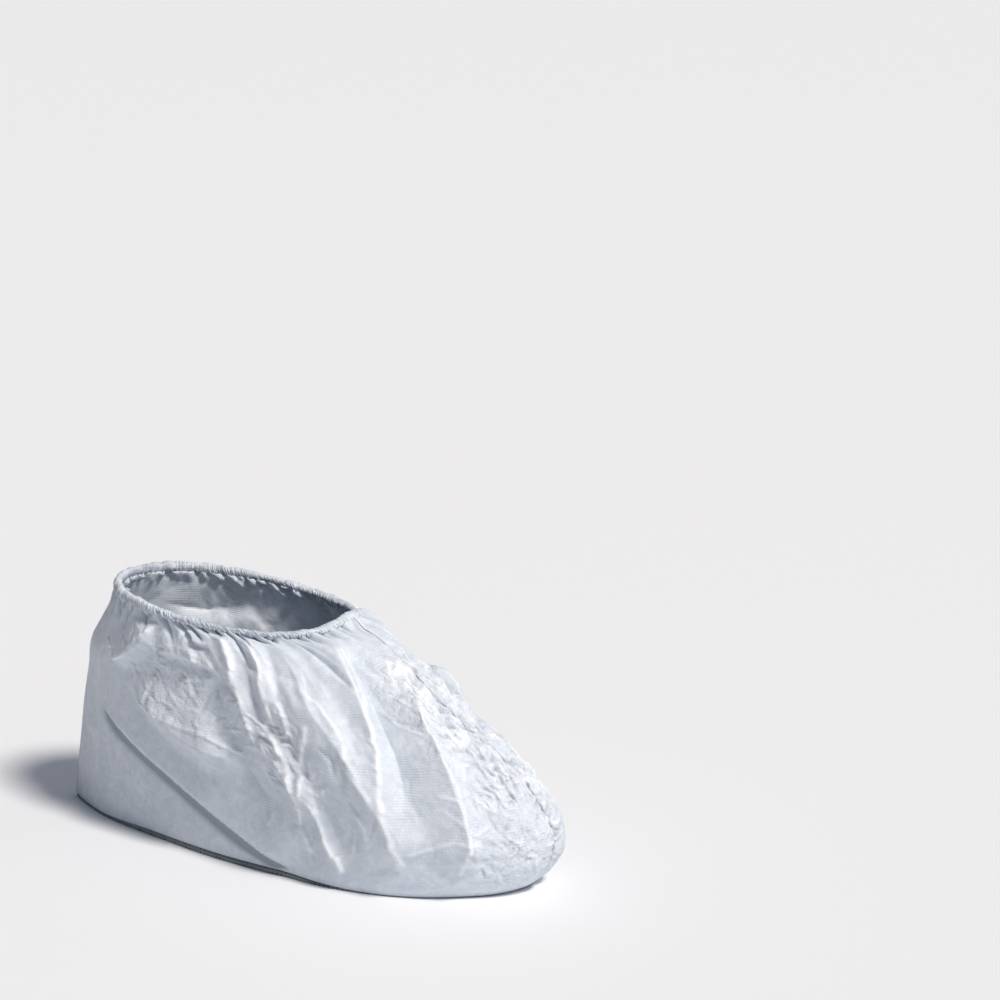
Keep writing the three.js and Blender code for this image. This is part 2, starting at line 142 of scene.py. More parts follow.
def plain(turn, rise, side=None):
    """Points of the cover with no folds, in millimetres from the back of the sole."""
    turn, rise = np.broadcast_arrays(np.asarray(turn, float), np.asarray(rise, float))
    if side is None:
        side = np.where(turn % 1 <= TOE, -1.0, 1.0)
    lap = 1 - np.abs(1 - 2 * (turn % 1))
    setback, back, front, retreat, swell, rnd, dip = (
        through(SECTIONS, k, rise) for k in range(1, 8))
    along = mix(through(SOLE_PLAN, 1, lap, ALONG_END_SLOPES), (1 - np.cos(np.pi * lap)) / 2, rnd)
    blunt = np.where((side < 0) & (lap > .5), 1 - CUFF_BLUNTNESS * dip, 1)
    across = mix(through(SOLE_PLAN, 2, lap, SIDE_END_SLOPES), np.sin(np.pi * lap)**blunt, rnd)
    half = np.where(side < 0, mix(OUTER_HALF, CUFF_OUTER_HALF, rnd),
                    mix(INNER_HALF, CUFF_INNER_HALF, rnd))
    x = mix(CUFF_SETBACK * setback, mix(COVER_LENGTH, CUFF_SETBACK + CUFF_LENGTH, retreat), along)
    z = mix(mix(WALL_FOOT, CUFF_BACK, back), mix(WALL_FOOT, CUFF_FRONT, front), along)
    z = z - CUFF_DIP * dip * np.sin(np.pi * lap**2)
    z = z + foot_change(lap, side) * np.clip(1 - rise / FOOT_FADE, 0, 1)
    return np.stack([x, side * half * swell * across - seam_lean(x, z), z], -1)


def outward(turn, rise, low, high, step=1e-3):
    """Unit normals of the plain surface on the side whose turns run from low to high."""
    side = -1.0 if high <= TOE else 1.0
    t0, t1 = np.maximum(turn - step, low), np.minimum(turn + step, high)
    r0, r1 = np.maximum(rise - step, 0), np.minimum(rise + step, 1)
    n = np.cross(plain(t1, rise, side) - plain(t0, rise, side),
                 plain(turn, r1, side) - plain(turn, r0, side))
    return n / np.linalg.norm(n, axis=-1, keepdims=True)


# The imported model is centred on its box, so its heel seam and sole say where these points go.
heel_box, sole_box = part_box("heel_seam"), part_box("sole")
SHIFT = np.array([sole_box[0].x, (heel_box[0].y + heel_box[1].y) / 2, 0.0]) * 1000
print("the back of the sole is at", SHIFT.round(2), "mm")

# %% [markdown]
# ## Folds
# A fold in stiff sheet is a tent: a sharp crest with two sloping flanks, which dies away at its
# ends. Each row is one fold of the real cover, or a likely one where its name begins with inner.
# It runs on a bent line from one place on the cloth to another, with its own width on the left
# and on the right of that line. A negative height makes a valley. Summing tents is quick, and
# each one can be moved by itself.

# %% The main folds
# name, turn and rise of both ends, bow, height, left and right width (shares), fade at each end
FOLDS = [
    ("heel_flap", .105, .67, .194, .93, -.08, .8, .5, .2, .2, .3),
    ("shoulder_ridge", .185, .83, .25, .807, .1, .25, .3, .2, .25, .3),
    ("quarter_bulge", .139, .67, .238, .43, -.34, 1.2, 1.1, .45, .25, .3),
    ("heel_crease", .055, .48, .275, .04, -.03, .4, 1.1, .25, .35, .15),
    ("ankle_ridge", .281, .96, .262, .6, -.02, .6, .22, .4, .1, .3),
    ("side_ridge", .257, .74, .284, .26, -.05, .55, .45, .6, .3, .3),
    ("low_ridge", .286, .46, .311, .07, -.15, .42, .2, .4, .25, .25),
    ("second_ridge", .314, .96, .283, .58, 0, .5, .2, .3, .1, .35),
    ("instep_edge", .336, .83, .355, .13, -.1, .9, .5, .95, .2, .15),
    ("instep_ridge", .424, .95, .345, .34, -.11, .35, .2, .25, .1, .3),
    ("vamp_valley", .434, .93, .353, .25, -.11, -.85, .9, .2, .15, .4),
    ("vamp_ridge", .482, .88, .4, .1, -.38, 1.15, .4, .95, .3, .15),
    ("seam_tuck", .51, .69, .54, .6, 0, -.5, .3, .4, .3, .3),
    ("vamp_hump", .56, .8, .518, .71, .1, 1.0, .42, .42, .3, .3),
    ("inner_toe_crest", .525, .4, .515, .08, .1, .28, .4, .5, .4, .3),
    ("inner_valley", .59, .94, .645, .28, 0, -.6, .55, .55, .2, .4),
    ("inner_ridge", .625, .97, .69, .22, .1, .6, .5, .9, .1, .35),
    ("inner_second_ridge", .71, .96, .735, .4, 0, .45, .35, .5, .1, .4),
    ("inner_low_crease", .96, .52, .72, .03, .1, .6, .3, 1, .35, .2),
    ("inner_shoulder", .9, .84, .79, .9, .3, .6, .28, .5, .3, .3),
]
main_folds = [(t0, r0, t1, r1, FOLD_WIDTH * bow, FOLD_HEIGHT * height, FOLD_WIDTH * left,
               FOLD_WIDTH * right, fade_in, fade_out)
              for _, t0, r0, t1, r1, bow, height, left, right, fade_in, fade_out in FOLDS]


# %% Adding folds up over a grid of the cloth
# A line is drawn along each fold, to this far on each side of it. The line is full where the
# fold is this high or higher and its two flanks together are this wide or narrower.
LINE_HALF, FULL_HEIGHT, FULL_WIDTH = 1.6, 1.5, 8.0


def fold_field(turns, rises, folds, steps):
    """Height in mm of all the folds on a grid of the cloth, and its crest and valley lines, 0 to 1.

    steps is the number of straight stretches that stand for a fold's bowed line."""
    height_map, crests, valleys = np.zeros((3, len(turns), len(rises)))
    for t0, r0, t1, r1, bow, height, left, right, fade_in, fade_out in folds:
        reach = max(left, right) + abs(bow)
        i0, i1 = np.searchsorted(turns, (min(t0, t1) - reach / CUFF_LAP, max(t0, t1) + reach / CUFF_LAP))
        j0, j1 = np.searchsorted(rises, (min(r0, r1) - reach / CUFF_BACK, max(r0, r1) + reach / CUFF_BACK))
        if i1 <= i0 or j1 <= j0:
            continue
        turn, rise = np.meshgrid(turns[i0:i1], rises[j0:j1], indexing="ij")
        lap = mix(SOLE_LAP, CUFF_LAP, rise)
        start = np.stack([(t0 - turn) * lap, (r0 - rise) * CUFF_BACK])
        end = np.stack([(t1 - turn) * lap, (r1 - rise) * CUFF_BACK])
        across = np.stack([start[1] - end[1], end[0] - start[0]])
        middle = (start + end) / 2 + 2 * bow * across / np.hypot(*across)
        nearest = np.full(turn.shape, np.inf)
        share, on_left = np.zeros(turn.shape), np.zeros(turn.shape, bool)
        for k in range(steps):
            a, b = ((1 - s)**2 * start + 2 * s * (1 - s) * middle + s * s * end
                    for s in (k / steps, (k + 1) / steps))
            run = b - a
            s = np.clip(-(a * run).sum(0) / (run**2).sum(0), 0, 1)
            foot = a + s * run
            distance = np.hypot(*foot)
            near = distance < nearest
            nearest = np.where(near, distance, nearest)
            share = np.where(near, (k + s) / steps, share)
            on_left = np.where(near, run[0] * foot[1] - run[1] * foot[0] < 0, on_left)
        out = np.clip(nearest / np.where(on_left, left, right), 0, 1)
        ends = ease(share / fade_in) * ease((1 - share) / fade_out)
        height_map[i0:i1, j0:j1] += height * ends * (1 - out) * np.cos(np.pi * out / 2)
        sharpness = min(1, abs(height) / FULL_HEIGHT) * min(1, FULL_WIDTH / (left + right))
        line = ends * np.clip(1 - nearest / LINE_HALF, 0, 1) * sharpness
        lines = crests if height > 0 else valleys
        lines[i0:i1, j0:j1] = np.maximum(lines[i0:i1, j0:j1], line)
    return height_map, crests, valleys


# %% [markdown]
# ## Small creases
# Handling leaves the sheet full of small, sharp creases. There are most on the toe, where the
# cloth is eased round the shoe, short puckers along the toe seam, and a row of gathers below
# the elastic. The crests of the main folds are crinkled too, because a stiff sheet never bends
# along one clean line. All of them are the same tents, scattered by a generator with a fixed
# seed, so that every run makes the same cover.

# %% One crease, and many
random = np.random.default_rng(20)
VALLEYS = .4  # the share of the creases that go in, not out


def crease(turn, rise, angle, length, height, left, right, fade_in=.35, fade_out=.35):
    """One straight crease that starts at a place on the cloth. Lengths in mm, angle in degrees."""
    lap = mix(SOLE_LAP, CUFF_LAP, rise)
    return (turn, rise, turn + length * math.cos(math.radians(angle)) / lap,
            rise + length * math.sin(math.radians(angle)) / CUFF_BACK,
            0.0, height, left, right, fade_in, fade_out)


def scattered(count, turns, rises, lengths, heights, widths, angles=(0, 180)):
    """Creases at random places. Each pair of numbers is the least and the most."""
    rows = []
    for _ in range(count):
        sign = -1 if random.random() < VALLEYS else 1
        rows.append(crease(random.uniform(*turns), random.uniform(*rises), random.uniform(*angles),
                           random.uniform(*lengths), sign * random.uniform(*heights),
                           random.uniform(*widths), random.uniform(*widths)))
    return rows


# %% Crinkled crests
CRINKLE = 9.0  # mm, the usual length of one crease in a crinkled crest
OVERLAP = .2  # the share of its length by which it runs past each end
STRAY = .0014  # how far an end strays from the crest's line, in turns, and three times that in rise


def crinkled(places, height, left, right):
    """A crest through several places on the cloth, made of short creases that stray from its line."""
    rows = []
    for (t0, r0), (t1, r1) in zip(places, places[1:]):
        length = math.hypot((t1 - t0) * mix(SOLE_LAP, CUFF_LAP, (r0 + r1) / 2), (r1 - r0) * CUFF_BACK)
        count = max(1, round(length / CRINKLE))
        for k in range(count):
            begin, end = (k - OVERLAP) / count, (k + 1 + OVERLAP) / count
            stray = random.normal(0, STRAY, 4)
            rows.append((
                mix(t0, t1, begin) + stray[0], mix(r0, r1, begin) + 3 * stray[1],
                mix(t0, t1, end) + stray[2], mix(r0, r1, end) + 3 * stray[3], 0.0,
                height * random.uniform(.6, 1.25), left * random.uniform(.7, 1.3), right, .25, .25))
    return rows


# places on the crest of each ridge (turn, rise), then height, left and right width in mm. The
# first twelve are on the outer side, and the other five on the inner side.
CRINKLED_CRESTS = [
    ([(.281, .94), (.277, .86), (.264, .74), (.265, .68), (.255, .52)], 1.5, 2.6, 6),  # ankle ridge
    ([(.314, .95), (.308, .86), (.296, .76), (.291, .69), (.283, .61)], 1.3, 2.4, 5),  # second ridge
    ([(.305, .72), (.303, .66), (.295, .58)], 2.0, 3.0, 7),  # in front of it
    ([(.275, .56), (.277, .47), (.276, .37), (.269, .23), (.278, .15)], 1.6, 2.0, 6),  # side ridge
    ([(.288, .43), (.28, .35), (.288, .3), (.293, .2), (.311, .08)], 1.4, 2.0, 6),  # low ridge
    ([(.336, .77), (.345, .73), (.347, .64), (.336, .52), (.34, .38), (.345, .31), (.346, .23),
      (.355, .15)], 1.2, 2.8, 6),  # instep edge
    ([(.424, .9), (.409, .81), (.391, .73), (.37, .59), (.353, .44), (.345, .35)],
     1.2, 2.2, 4),  # instep ridge
    ([(.482, .84), (.462, .76), (.435, .68), (.417, .55), (.412, .44), (.406, .34), (.401, .22),
      (.4, .13)], 1.3, 2.6, 6),  # vamp ridge
    ([(.139, .7), (.141, .58), (.15, .53), (.177, .51), (.208, .49), (.234, .44)],
     1.1, 4, 2.6),  # quarter bulge
    ([(.186, .813), (.209, .81), (.229, .81), (.25, .8)], 2.2, 7, 4),  # shoulder ridge
    ([(.237, .94), (.24, .89), (.252, .89)], 2.2, 5, 3),  # above it
    ([(.093, .758), (.109, .68), (.132, .73), (.161, .83), (.194, .93)], 1.3, 4, 3),  # heel flap
    ([(.625, .95), (.64, .77), (.668, .5), (.688, .26)], 1.3, 6, 2.6),  # inner ridge
    ([(.71, .93), (.722, .7), (.735, .45)], 1.3, 6, 2.4),  # inner second ridge
    ([(.6, .9), (.618, .66), (.64, .4)], 1.2, 5, 2.6),  # beside the inner valley
    ([(.9, .82), (.86, .78), (.82, .84)], 1.4, 4, 3),  # inner shoulder
    ([(.78, .9), (.79, .74), (.78, .56)], 1.3, 5, 2.6)]  # in front of it

# %% Patches of creases
# how many, the turns and rises they lie in, lengths, heights and widths in mm, angles in degrees
CREASED_PATCHES = [
    (260, (.405, .6), (.06, .7), (8, 26), (.25, .9), (1.3, 4)),  # both sides of the toe
    (200, (.445, .53), (.35, .82), (6, 17), (.6, 1.7), (1.2, 3)),  # its top, beside the seam
    (80, (.145, .25), (.48, .88), (5, 16), (.25, .7), (1.2, 3)),  # behind the ankle
    (50, (.262, .3), (.34, .6), (5, 14), (.35, .95), (1.3, 3)),  # below the ankle
    (70, (.24, .36), (.1, .8), (10, 34), (.25, .8), (2, 7), (60, 120)),  # upright ones about it
    (110, (0, .5), (.03, .95), (14, 60), (.12, .45), (4, 16)),  # wide, faint ones on the outer side
    (150, (.5, 1), (.03, .95), (12, 55), (.15, .6), (3, 14)),  # and on the inner side
    (110, (.6, .86), (.25, .92), (9, 30), (.4, 1.1), (1.4, 5), (50, 130))]  # upright ones there
# two with a place of their own: turn and rise of both ends, bow, height, left, right, two fades
PLACED_CREASES = [
    (.355, .19, .394, .265, 0, .8, 2, 2, .1, .15),
    (.324, .655, .284, .44, -1.5, .8, 2, 3, .2, .2)]
small_creases = [row for patch in CREASED_PATCHES for row in scattered(*patch)]
small_creases += [row for places, *shape in CRINKLED_CRESTS for row in crinkled(places, *shape)]
small_creases += PLACED_CREASES

# %% Gathers below the elastic
LONG_GATHERS = .3  # the share of them that run far down
GATHER_TOP = 1.01  # the rise they start at, just past the cloth's edge
gathers = []
at = 0.0
while at < CUFF_LAP:
    long_one = random.random() < LONG_GATHERS
    length = random.uniform(20, 45) if long_one else random.uniform(8, 18)
    downwards = random.normal(-90, 9 if long_one else 14)
    depth = -random.uniform(2.6, 4.2)
    width = random.uniform(2.1, 3.8)
    gathers.append(crease(at / CUFF_LAP, GATHER_TOP, downwards, length, depth, width,
                          width * random.uniform(.7, 1.3), .02, .75))
    at += random.uniform(4.4, 9)

# %% Puckers along the toe seam
PUCKER_START, PUCKER_END = 10.0, 150.0  # mm up the seam
STRONGEST, STRENGTH_PERIOD = .72, .45  # puckers are strong at this rise, weak half a period away
puckers = []
for side in (-1, 1):
    at = PUCKER_START
    while at < PUCKER_END:
        rise = at / CUFF_BACK
        strength = .55 + .45 * math.cos(2 * math.pi * (rise - STRONGEST) / STRENGTH_PERIOD)
        puckers.append(crease(
            TOE, rise, (180 if side < 0 else 0) - side * random.uniform(-25, 45), random.uniform(5, 15),
            random.choice((-1, -1, 1)) * random.uniform(1.2, 2.3) * strength,
            random.uniform(1.1, 2.4), random.uniform(1.1, 2.4), .02, .7))
        at += random.uniform(2.2, 4.4)
print(len(main_folds), "folds,", len(small_creases), "creases,", len(gathers), "gathers,",
      len(puckers), "puckers")

# %% The whole relief
BOW_STEPS = 24
PINCH, PINCH_WIDTH = 2.2, 13.0  # how far the toe seam draws the cloth in, and how far from it
GROOVE, GROOVE_WIDTH = 2.2, 1.5  # and again, more sharply, right beside the stitches
HELD, HELD_WIDTH = .5, 3.0  # the stitches take this share of the small creases away beside them
SWELL, SWELL_REACH = 1.1, .13  # soft waves below the elastic, and the share of the rise they reach
SWELL_DRIFT, SWELL_DRIFTS = .35, 5  # how far they wander off an even beat, and how often in a lap
CREASE_FADE = .05  # share of the rise over which small creases grow from the sole


def from_toe_seam(turn, rise):
    """Distance in mm from the toe seam, along the cloth."""
    return np.abs(turn - TOE) * mix(SOLE_LAP, CUFF_LAP, rise)


def relief(turns, rises):
    """How far the cloth stands off the plain surface, in mm, and where its crests and valleys are."""
    main, main_crests, _ = fold_field(turns, rises, main_folds, BOW_STEPS)
    fine, fine_crests, valleys = fold_field(turns, rises, small_creases + gathers + puckers, 1)
    turn, rise = turns[:, None], rises[None, :]
    beside = from_toe_seam(turn, rise)
    pinch = -PINCH * (1 - ease(beside / PINCH_WIDTH)) - GROOVE * np.exp(-beside / GROOVE_WIDTH)
    beat = GATHERS * turn + SWELL_DRIFT * np.sin(2 * SWELL_DRIFTS * np.pi * turn)
    swell = SWELL * np.cos(2 * np.pi * beat) * np.exp(-(1 - rise) / SWELL_REACH)
    fine = fine * (1 - HELD * np.exp(-(beside / HELD_WIDTH)**2))
    foot = ease(rise / FOOT_FADE)
    height = (main + pinch) * foot * ease((1 - rise) / CUFF_FADE) + (fine + swell) * ease(rise / CREASE_FADE)
    return height, np.clip(main_crests * foot + fine_crests, 0, 1), valleys


# %% [markdown]
# ## From grids to meshes
# The sheet is thin, but it still has two faces and an edge. Each side is a grid of points that
# is pushed out by the relief, and a second grid further in, joined round the rim into a closed
# shell. The second has half as many points each way, which saves faces where nobody looks. Each
# of its points lies one wall below the lowest outer point around it, so the faces never cross.
# The cloth's own coordinates go into a UV map in metres, for patterns that follow the sheet.

# %% Mesh helpers
def to_metres(points):
    """Points in mm from the back of the sole, as places in the scene."""
    return (points + SHIFT) / 1000


def make_mesh(name, points, faces, uv, **fields):
    """An object at the origin with its place in its mesh. uv and the fields hold a value per point."""
    mesh = bpy.data.meshes.new(name)
    mesh.from_pydata(to_metres(points).tolist(), [], faces)
    mesh.polygons.foreach_set("use_smooth", np.ones(len(faces), bool))
    loops = np.empty(len(mesh.loops), int)
    mesh.loops.foreach_get("vertex_index", loops)
    mesh.uv_layers.new(name="cloth").uv.foreach_set("vector", (uv / 1000)[loops].ravel())
    for label, values in fields.items():
        mesh.attributes.new(label, "FLOAT", "POINT").data.foreach_set("value", values)
    mesh.update()
    obj = bpy.data.objects.new(name, mesh)
    bpy.context.scene.collection.objects.link(obj)
    return obj


def shell_faces(n, m, coarse=1):
    """Faces of two grids, joined round their edges. The second may hold each second point alone."""
    outer = np.arange(n * m).reshape(n, m)
    lower = outer[::coarse, ::coarse].shape
    inner = n * m + np.arange(lower[0] * lower[1]).reshape(lower)
    faces = []
    for at, way in ((outer, 1), (inner, -1)):
        quads = np.stack([at[:-1, :-1], at[1:, :-1], at[1:, 1:], at[:-1, 1:]], -1)
        faces += quads.reshape(-1, 4)[:, ::way].tolist()
    for rim, lining in ((outer[:, 0], inner[:, 0]), (outer[-1], inner[-1]),
                        (outer[::-1, -1], inner[::-1, -1]), (outer[0, ::-1], inner[0, ::-1])):
        rim, lining = rim.tolist(), lining.tolist()
        faces += [[rim[coarse * k], lining[k], lining[k + 1], *rim[coarse * (k + 1):coarse * k:-1]]
                  for k in range(len(lining) - 1)]
    return faces


# %% Crumpled patches and painted shade
EVEN_WEAR = .2
# how much more handling has crumpled a patch, then its middle, half size and soft edge, first in
# turn and then in rise
WORN_PATCHES = [
    (.8, .5, .105, .04, .46, .46, .15),  # the toe
    (.5, .2, .07, .03, .7, .24, .08),  # behind the ankle
    (.25, .28, .035, .02, .5, .25, .1)]  # below the ankle
# shade painted as grey along the heel crease, in a band whose row is like a fold's
HEEL_CREASE_SHADE_BAND = (.065, .447, .272, .017, -1.2, 1, .1, 10.5, .15, .1)
BAND_EDGE, BAND_STEPS = 3, 6  # how sharply that band ends, and the straight stretches along it
SEAM_SHADE, SEAM_SHADE_WIDTH = .85, 1.1  # painted shade in the toe seam's groove, and its width in mm
SEAM_SHADE_END, SEAM_SHADE_FADE = .86, .1  # the rise where it ends, and how softly
# share of painted shade in the valleys of creases, gathers and puckers
VALLEY_SHADE = .5


def wear_at(turn, rise):
    """How much handling has crumpled the cloth, 0 to 1."""
    wear = EVEN_WEAR
    for more, turn_middle, turn_half, turn_edge, rise_middle, rise_half, rise_edge in WORN_PATCHES:
        wear = wear + (more * ease((turn_half - np.abs(turn - turn_middle)) / turn_edge)
                       * ease((rise_half - np.abs(rise - rise_middle)) / rise_edge))
    return wear


def painted_shade_at(turns, rises, valleys):
    """Painted shade, 0 to 1: grey along the heel crease, in the toe seam's groove and in valleys."""
    turn, rise = turns[:, None], rises[None, :]
    crease_shade = np.clip(BAND_EDGE * fold_field(turns, rises, [HEEL_CREASE_SHADE_BAND], BAND_STEPS)[0], 0, 1)
    seam = SEAM_SHADE * np.exp(-(from_toe_seam(turn, rise) / SEAM_SHADE_WIDTH)**2)
    seam = seam * ease((SEAM_SHADE_END - rise) / SEAM_SHADE_FADE)
    return np.max([crease_shade, seam, VALLEY_SHADE * valleys], axis=0)


# %% The two sides
COLUMNS, ROWS = 361, 217  # of the outer face
COARSE = 2  # the inner face has every second column and row
CROWDING = .5  # 0 spaces the columns evenly, and more brings them together at the toe
SEAM_GAP = 0.12  # half the gap between the two sides along the centre


def cloth_side(name, low, high):
    """One side of the cover as a closed shell, and the area of its outer face in square metres."""
    side = -1.0 if high <= TOE else 1.0
    share = np.linspace(0, 1, COLUMNS)
    from_heel = share * (1 + CROWDING - CROWDING * share) * TOE
    turns = from_heel if side < 0 else 1 - from_heel[::-1]
    rises = np.linspace(0, 1, ROWS)
    height, crest, valleys = relief(turns, rises)
    turn, rise = np.meshgrid(turns, rises, indexing="ij")
    points, normals = plain(turn, rise, side), outward(turn, rise, low, high)
    for edge in (0, -1):  # along the seams the wall is cut in the centre plane, as a mitre
        points[edge, :, 1] += side * SEAM_GAP
        normals[edge, :, 1] = 0
        normals[edge] /= (normals[edge]**2).sum(-1, keepdims=True)
    outer = points + normals * height[..., None]
    around = np.pad(height, 1, mode="edge")
    lowest = np.min([around[i:i + COLUMNS, j:j + ROWS] for i in range(3) for j in range(3)], axis=0)
    inner = (points + normals * (lowest - WALL)[..., None])[::COARSE, ::COARSE]
    lap = np.cumsum(np.r_[0, np.linalg.norm(np.diff(outer[:, ROWS // 3], axis=0), axis=-1)])
    wall = np.cumsum(np.r_[0, np.linalg.norm(np.diff(outer[COLUMNS // 2], axis=0), axis=-1)])
    uv = np.stack(np.meshgrid(lap, wall, indexing="ij"), -1)
    fields = {"crest": crest, "wear": wear_at(turn, rise), "painted_shade": painted_shade_at(turns, rises, valleys)}
    fields = {label: np.concatenate([field.ravel(), field[::COARSE, ::COARSE].ravel()])
              for label, field in fields.items()}
    obj = make_mesh(name, np.concatenate([outer.reshape(-1, 3), inner.reshape(-1, 3)]),
                    shell_faces(COLUMNS, ROWS, COARSE),
                    np.concatenate([uv.reshape(-1, 2), uv[::COARSE, ::COARSE].reshape(-1, 2)]), **fields)
    corner = outer[:-1, :-1]
    cells = np.linalg.norm(np.cross(outer[1:, :-1] - corner, outer[:-1, 1:] - corner), axis=-1)
    area = cells.sum() / 1e6
    print(name, "cloth area", round(area, 4), "m2, lap", lap[-1].round(), "mm, wall",
          wall[-1].round(), "mm")
    return obj, area


outer_side, outer_area = cloth_side("outer_cloth", HEEL, TOE)
inner_side, inner_area = cloth_side("inner_cloth", TOE, 1)

# %% [markdown]
# ## The sole
# The sole is one flat sheet, cut to the outline that the sides stand on. Rows run across it
# from the outer edge to the inner edge. It lies on the floor, so its underside is flat.

# %% The sole sheet
SOLE_ROWS, SOLE_COLUMNS = 150, 60
SHEET_DROP = .3  # the sheet's top lies this far below the solid's, which leaves room for its waves
SAG, SAG_FADE = .25, .08  # small waves in the sheet, and the share of the way where they grow
SAG_WAVES, SAG_BEND, SAG_BENDS = 41, 3, 9  # radians: from heel to toe, and bends on the way across
TURNED_UP = .05  # share of the width, along the outer edge, that bends up with the cloth


def sole_sheet():
    """The sheet under the foot. Its rows follow the way from heel to toe, its columns cross it."""
    laps, across = np.linspace(0, 1, SOLE_ROWS), np.linspace(0, 1, SOLE_COLUMNS)
    tucked = FOOT_TUCK * ease((laps - TUCK_START) / TUCK_GROWS)[:, None]
    flat = np.zeros_like(laps)
    outer = plain(laps / 2, 0.0, -1.0) - tucked * outward(laps / 2, flat, HEEL, TOE)
    inner = plain(1 - laps / 2, 0.0, 1.0) - tucked * outward(1 - laps / 2, flat, TOE, 1)
    turned_up = foot_change(laps, -1.0).clip(0)[:, None] * np.clip(1 - across / TURNED_UP, 0, 1)
    grid = mix(outer[:, None], inner[:, None], across[None, :, None])
    lap, over = laps[:, None], across[None, :]
    sag = SAG * np.sin(lap * SAG_WAVES + SAG_BEND * np.sin(over * SAG_BENDS)) * np.sin(np.pi * over)
    sag = sag * ease(np.minimum(lap, 1 - lap) / SAG_FADE)
    top, under = grid.copy(), grid.copy()
    top[..., 2] = SOLE_THICKNESS - SHEET_DROP + sag + turned_up
    under[..., 2] = 0
    keep = slice(1, -1)  # the tip rows have no width
    grids = np.concatenate([top[keep].reshape(-1, 3), under[keep].reshape(-1, 3)])
    return make_mesh("sole_sheet", grids, shell_faces(len(laps) - 2, len(across)), grids[:, :2])


sole = sole_sheet()

# %% [markdown]
# ## Node trees
# Blender makes both its materials and its repeated shapes with node trees. Such a tree is easier
# to read in a script when one short function adds a node, sets it and links it in one go.

# %% One helper for node trees
def add(tree, kind, settings=None, **inputs):
    """Adds a node. settings are its properties, inputs its sockets: a value, or a socket to link.

    A socket is named by its identifier or its number, as in Scale=2 or _0=socket."""
    node = tree.nodes.new(kind)
    for key, value in (settings or {}).items():
        setattr(node, key, value)
    for key, value in inputs.items():
        socket = node.inputs[int(key[1:]) if key[0] == "_" else key.replace("_", " ")]
        if isinstance(value, bpy.types.NodeSocket):
            tree.links.new(value, socket)
        elif isinstance(value, bpy.types.Node):
            tree.links.new(value.outputs[0], socket)
        else:
            socket.default_value = value
    return node


def node_group(name, sockets):
    """A Geometry Nodes tree with a geometry in and out, and named inputs with default values."""
    tree = bpy.data.node_groups.new(name, "GeometryNodeTree")
    tree.interface.new_socket("Geometry", in_out="INPUT", socket_type="NodeSocketGeometry")
    tree.interface.new_socket("Geometry", in_out="OUTPUT", socket_type="NodeSocketGeometry")
    for label, kind, value in sockets:
        socket = tree.interface.new_socket(label, in_out="INPUT", socket_type="NodeSocket" + kind)
        if value is not None:
            socket.default_value = value
    return tree, add(tree, "NodeGroupInput"), add(tree, "NodeGroupOutput")


def made_by_nodes(obj, tree, **values):
    """Runs a tree on an object and keeps the result as its plain mesh."""
    modifier = obj.modifiers.new("tree", "NODES")
    modifier.node_group = tree
    for item in tree.interface.items_tree:
        if item.item_type == "SOCKET" and item.in_out == "INPUT" and item.name in values:
            modifier[item.identifier] = values[item.name]
    evaluated = obj.evaluated_get(bpy.context.evaluated_depsgraph_get())
    result = bpy.data.meshes.new_from_object(evaluated)
    obj.modifiers.remove(modifier)
    obj.data = result
    print(obj.name, len(result.polygons), "faces")
    return obj


# %% [markdown]
# ## Finishes
# The sheet is flash-spun polyethylene: fine white threads of plastic, blown into a web and
# pressed. It looks like paper with a slight sheen. The press leaves a faint ribbing under two
# millimetres apart, and swirls of fibre show through as mottling. The crests of folds and
# creases are drawn whiter. Shade is painted into the colour as grey along the heel crease, in
# the toe seam's groove and in the valleys of creases. The toe and the patches behind the ankle
# are crumpled into small facets. All of that is small, so it is bump and colour rather than
# geometry, and the mesh's attributes for crests, wear and painted shade say where it goes.

# %% Colours
def srgb(code):
    """A hex colour as linear red, green, blue and alpha."""
    parts = [int(code[i:i + 2], 16) / 255 for i in (1, 3, 5)]
    return (*[c / 12.92 if c <= .04045 else ((c + .055) / 1.055)**2.4 for c in parts], 1)


# %% Pattern sizes
def band_scale(pitch_mm):
    """Scale of a wave texture whose bands are pitch_mm apart on coordinates in metres."""
    return 2 * math.pi / (20 * pitch_mm / 1000)


def grain_scale(size_mm):
    """Scale of a noise or cell texture whose grains are size_mm across on coordinates in metres."""
    return 1000 / size_mm


# %% An empty finish
def empty_finish(name):
    """A new material, and its node tree with nothing in it yet."""
    material = bpy.data.materials.new(name)
    material.use_nodes = True
    material.node_tree.nodes.clear()
    return material, material.node_tree


# %% The press's ribbing
CROSS_PITCH, CROSS_SHARE = 1.3, .35  # the ribs across the sheet, against those along it


def pressed_ribs(tree, cloth, place, pitch_mm):
    """Height of the ribbing, 0 to about 1, which the press leaves deeper in some patches."""
    ribs = add(tree, "ShaderNodeTexWave", {"bands_direction": "Y"}, Vector=cloth,
               Scale=band_scale(pitch_mm), Distortion=1.2, Detail=1.0, Detail_Scale=.6)
    cross = add(tree, "ShaderNodeTexWave", {"bands_direction": "X"}, Vector=cloth,
                Scale=band_scale(pitch_mm * CROSS_PITCH), Distortion=2.0, Detail=1.0, Detail_Scale=.6)
    both = add(tree, "ShaderNodeMath", {"operation": "MULTIPLY_ADD"}, _0=cross, _1=CROSS_SHARE, _2=ribs)
    patches = add(tree, "ShaderNodeTexNoise", Vector=place, Scale=grain_scale(18.18), Detail=2.0)
    weight = add(tree, "ShaderNodeMapRange", Value=patches, From_Min=.38, From_Max=.62,
                 To_Min=.15, To_Max=1.0)
    return add(tree, "ShaderNodeMath", {"operation": "MULTIPLY"}, _0=both, _1=weight)


# %% Crumpling
FACETS = [(23.81, 1.0), (9.09, .55), (3.846, .25)]  # size of the facets in mm, and their share


